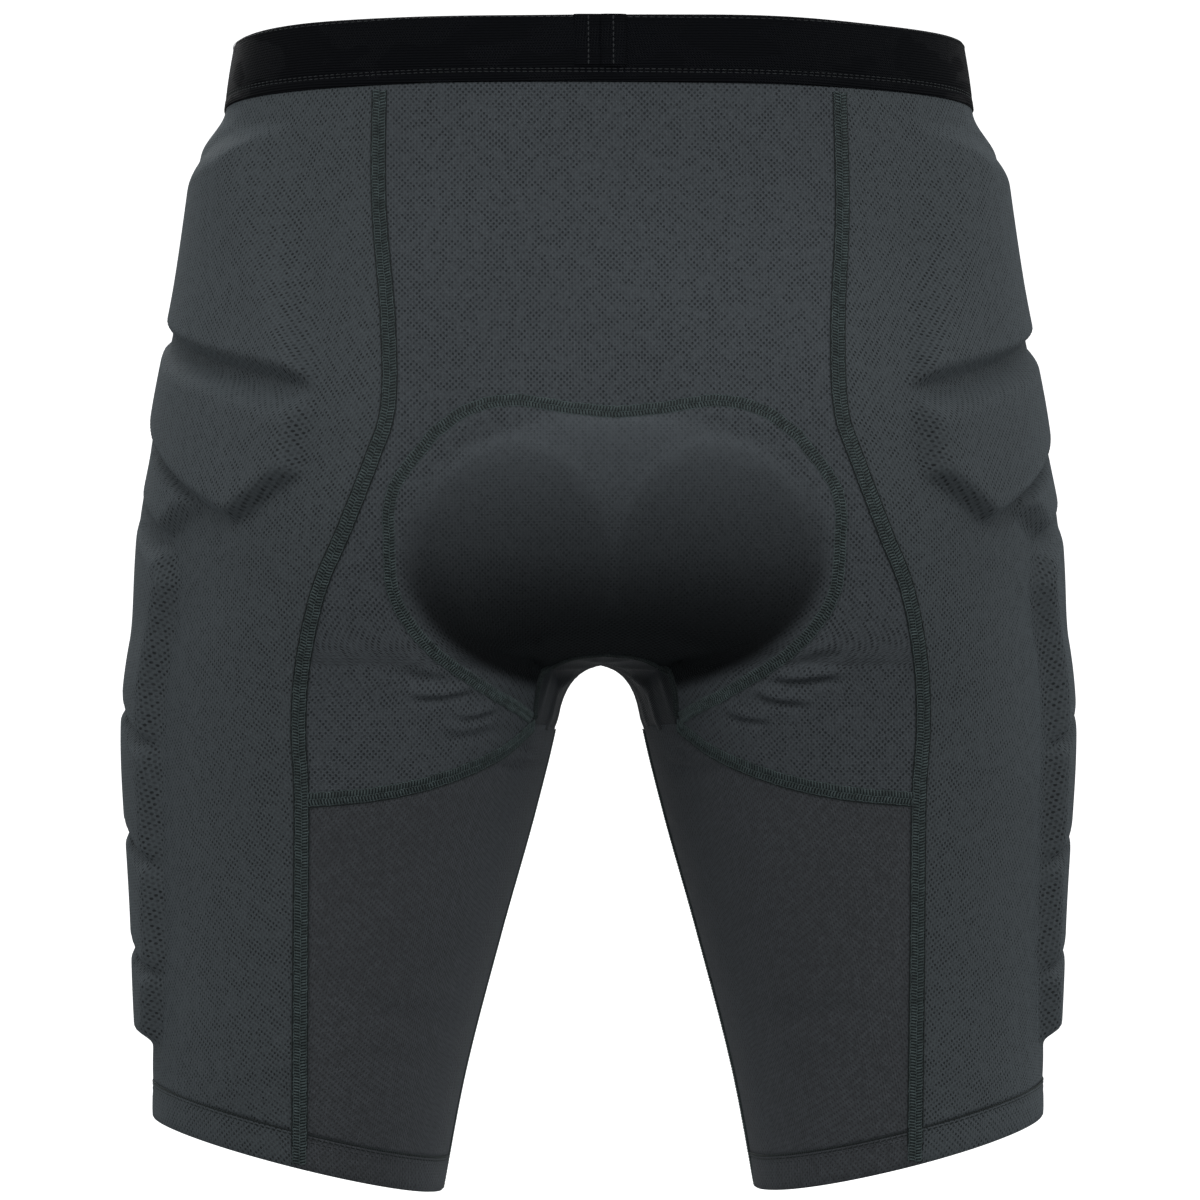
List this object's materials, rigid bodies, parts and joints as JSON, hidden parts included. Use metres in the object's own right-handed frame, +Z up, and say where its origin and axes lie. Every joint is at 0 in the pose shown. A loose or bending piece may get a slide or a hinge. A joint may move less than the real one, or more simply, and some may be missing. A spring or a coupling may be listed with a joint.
{
  "type": "padded impact shorts",
  "caption": "Close-fitting padded impact shorts with an elastic waistband, knit panels, foam pads at the hips, thighs and seat, and flat seams.",
  "frame": {"origin": "on the ground plane under the middle of the shorts, level with the lowest point of the hems", "axes": "+Z up the body, +Y the way the wearer faces, +X to the wearer's right"},
  "size_m": [0.4018, 0.2422, 0.485],
  "materials": {
    "mesh_knit": "matt pin-hole mesh knit, charcoal",
    "plain_knit": "fine stretch knit with a slight sheen, dark charcoal",
    "gusset_knit": "smooth stretch knit, near black",
    "elastic": "woven elastic, black",
    "seam_thread": "flatlock thread, greenish charcoal",
    "foam": "moulded closed-cell foam, dark grey",
    "lining": "thin brushed lining, dark"
  },
  "bodies": {
    "root": {"back_gusset_seam": "seam_thread", "back_panel": "mesh_knit", "crotch_gusset": "gusset_knit", "front_gusset_seam": "seam_thread", "front_panel": "mesh_knit", "left_back_cross_seam": "seam_thread", "left_back_seam": "seam_thread", "left_front_cross_seam": "seam_thread", "left_front_seam": "seam_thread", "left_hem": "plain_knit", "left_hip_pad_front": "foam", "left_hip_pad_lower": "foam", "left_hip_pad_middle": "foam", "left_hip_pad_upper": "foam", "left_inner_back_panel": "plain_knit", "left_inner_front_panel": "plain_knit", "left_inside_leg_seam": "seam_thread", "left_pad_lining": "lining", "left_seat_foam": "foam", "left_side_panel": "mesh_knit", "left_thigh_pad_1": "foam", "left_thigh_pad_2": "foam", "left_thigh_pad_3": "foam", "left_thigh_pad_4": "foam", "right_back_cross_seam": "seam_thread", "right_back_seam": "seam_thread", "right_front_cross_seam": "seam_thread", "right_front_seam": "seam_thread", "right_hem": "plain_knit", "right_hip_pad_front": "foam", "right_hip_pad_lower": "foam", "right_hip_pad_middle": "foam", "right_hip_pad_upper": "foam", "right_inner_back_panel": "plain_knit", "right_inner_front_panel": "plain_knit", "right_inside_leg_seam": "seam_thread", "right_pad_lining": "lining", "right_seat_foam": "foam", "right_side_panel": "mesh_knit", "right_thigh_pad_1": "foam", "right_thigh_pad_2": "foam", "right_thigh_pad_3": "foam", "right_thigh_pad_4": "foam", "seat_pad_base": "lining", "seat_pad_seam": "seam_thread", "waistband": "elastic", "waistband_join_tab": "elastic"}
  },
  "joints": []
}
